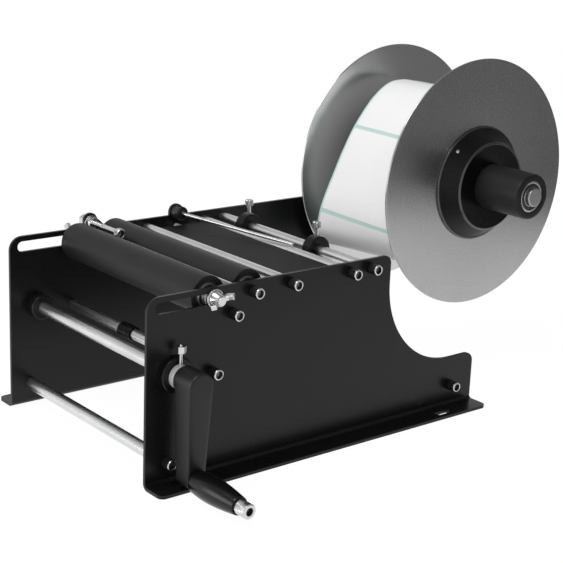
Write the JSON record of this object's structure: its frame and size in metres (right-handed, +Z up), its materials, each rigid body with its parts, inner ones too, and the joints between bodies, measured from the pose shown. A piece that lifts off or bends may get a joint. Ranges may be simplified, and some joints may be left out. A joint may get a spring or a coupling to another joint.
{
  "type": "round bottle labeling machine",
  "caption": "Hand-cranked table-top labeller: two rubber rollers turn a round bottle while a crank draws the label web off a flanged reel over guide rods.",
  "frame": {"origin": "on the table, under the middle of the machine's box", "axes": "+X along the rollers towards the crank, +Y back towards the label reel, +Z up"},
  "size_m": [0.3626, 0.5978, 0.3286],
  "materials": {
    "black_paint": "semi-gloss black powder coat",
    "chrome_rod": "ground and chromed",
    "screw_steel": "bright zinc or stainless",
    "bright_steel": "turned, bare",
    "grey_paint": "satin dark grey",
    "black_plastic": "satin moulded",
    "crank_black": "satin black",
    "grip_black": "satin moulded",
    "roller_rubber": "matte, ground",
    "black_tube": "black anodised",
    "disc_grey": "satin grey anodised",
    "card": "wound card",
    "label_paper": "smooth white"
  },
  "bodies": {
    "frame": {"left_side_plate": "black_paint", "right_side_plate": "black_paint", "front_lower_rod": "chrome_rod", "rear_lower_rod": "chrome_rod", "lower_guide_rod": "chrome_rod", "under_roller_rod": "chrome_rod", "peel_rod": "chrome_rod", "inner_guide_rod": "chrome_rod", "outer_guide_rod": "chrome_rod", "rod_screws": "screw_steel", "roller_gap_strip": "bright_steel", "peel_table": "grey_paint", "peel_table_studs": "chrome_rod", "stop_washer": "screw_steel", "press_rod_holder": "black_plastic", "press_rod_pin": "screw_steel", "left_shaft_bearing": "black_plastic", "right_shaft_bearing": "black_plastic", "rear_roller_shaft": "chrome_rod", "rear_axle_spacers": "chrome_rod", "reel_shaft": "bright_steel", "reel_shaft_bolt": "screw_steel", "reel_end_cap": "screw_steel"},
    "crank": {"drive_shaft": "chrome_rod", "shaft_clip": "screw_steel", "shaft_collar": "bright_steel", "collar_screw": "screw_steel", "crank_arm": "crank_black", "grip_bush": "screw_steel", "grip_bolt": "screw_steel"},
    "grip": {"crank_grip": "grip_black"},
    "front_axle": {"front_roller_shaft": "chrome_rod", "front_axle_spacers": "chrome_rod", "front_axle_washers": "screw_steel"},
    "front_roller": {"front_roller_core": "bright_steel", "front_roller_sleeve": "roller_rubber", "front_roller_bearings": "bright_steel"},
    "left_nut": {"left_wing_nut": "screw_steel"},
    "right_nut": {"right_wing_nut": "screw_steel"},
    "rear_roller": {"rear_roller_core": "bright_steel", "rear_roller_sleeve": "roller_rubber", "rear_roller_bearings": "bright_steel"},
    "left_collar": {"left_guide_collar": "black_plastic"},
    "right_collar": {"right_guide_collar": "black_plastic"},
    "left_thumb": {"left_thumb_screw": "screw_steel"},
    "right_thumb": {"right_thumb_screw": "screw_steel"},
    "low_collar": {"lower_guide_collar": "black_plastic"},
    "stop": {"stop_screw": "screw_steel"},
    "stop_nut_in": {"stop_inner_nut": "screw_steel"},
    "stop_nut_out": {"stop_outer_nut": "screw_steel"},
    "press_rod_body": {"press_rod": "chrome_rod"},
    "reel": {"reel_tube": "black_tube", "reel_bearings": "bright_steel", "far_disc": "disc_grey", "far_hub": "black_plastic", "label_core": "card", "label_roll": "label_paper", "label_web": "label_paper"},
    "near_flange": {"near_disc": "disc_grey", "near_hub": "black_plastic"}
  },
  "joints": [
    {"name": "crank_turn", "type": "hinge", "parent": "frame", "child": "crank", "pos_m": [0.0987, -0.2701, 0.0984], "axis": [1, 0, 0], "continuous": true},
    {"name": "grip_spin", "type": "hinge", "parent": "crank", "child": "grip", "pos_m": [0.1367, -0.2701, 0.0144], "axis": [1, 0, 0], "continuous": true},
    {"name": "front_axle_slide", "type": "slide", "parent": "frame", "child": "front_axle", "axis": [0, 1, 0], "range_m": [-0.055, 0.001]},
    {"name": "front_roller_spin", "type": "hinge", "parent": "front_axle", "child": "front_roller", "pos_m": [-0.0413, -0.2309, 0.158], "axis": [1, 0, 0], "continuous": true},
    {"name": "left_wing_turn", "type": "hinge", "parent": "front_axle", "child": "left_nut", "pos_m": [-0.1613, -0.2309, 0.158], "axis": [1, 0, 0], "range_deg": [-720, 0]},
    {"name": "right_wing_turn", "type": "hinge", "parent": "front_axle", "child": "right_nut", "pos_m": [0.0787, -0.2309, 0.158], "axis": [1, 0, 0], "range_deg": [0, 720]},
    {"name": "rear_roller_spin", "type": "hinge", "parent": "frame", "child": "rear_roller", "pos_m": [-0.0413, -0.1899, 0.158], "axis": [1, 0, 0], "continuous": true},
    {"name": "left_collar_slide", "type": "slide", "parent": "frame", "child": "left_collar", "axis": [1, 0, 0], "range_m": [-0.036, 0.04]},
    {"name": "right_collar_slide", "type": "slide", "parent": "frame", "child": "right_collar", "axis": [1, 0, 0], "range_m": [-0.05, 0.066]},
    {"name": "left_thumb_turn", "type": "hinge", "parent": "left_collar", "child": "left_thumb", "pos_m": [-0.1098, -0.0536, 0.18], "axis": [0, 0, 1], "range_deg": [0, 720]},
    {"name": "right_thumb_turn", "type": "hinge", "parent": "right_collar", "child": "right_thumb", "pos_m": [-0.0043, -0.0536, 0.18], "axis": [0, 0, 1], "range_deg": [0, 720]},
    {"name": "low_collar_slide", "type": "slide", "parent": "frame", "child": "low_collar", "axis": [1, 0, 0], "range_m": [-0.085, 0.11]},
    {"name": "stop_slide", "type": "slide", "parent": "frame", "child": "stop", "axis": [1, 0, 0], "range_m": [-0.03, 0.008]},
    {"name": "stop_nut_in_turn", "type": "hinge", "parent": "frame", "child": "stop_nut_in", "pos_m": [-0.1503, -0.2119, 0.1724], "axis": [1, 0, 0], "range_deg": [0, 720]},
    {"name": "stop_nut_out_turn", "type": "hinge", "parent": "frame", "child": "stop_nut_out", "pos_m": [-0.1623, -0.2119, 0.1724], "axis": [1, 0, 0], "range_deg": [0, 720]},
    {"name": "press_rod_lift", "type": "hinge", "parent": "frame", "child": "press_rod_body", "pos_m": [-0.1478, -0.1114, 0.171], "axis": [0.2453, -0.9694, 0], "range_deg": [0, 70]},
    {"name": "reel_spin", "type": "hinge", "parent": "frame", "child": "reel", "pos_m": [-0.0413, 0.1694, 0.1991], "axis": [1, 0, 0], "continuous": true},
    {"name": "near_hub_slide", "type": "slide", "parent": "reel", "child": "near_flange", "axis": [1, 0, 0], "range_m": [0, 0.05]}
  ]
}
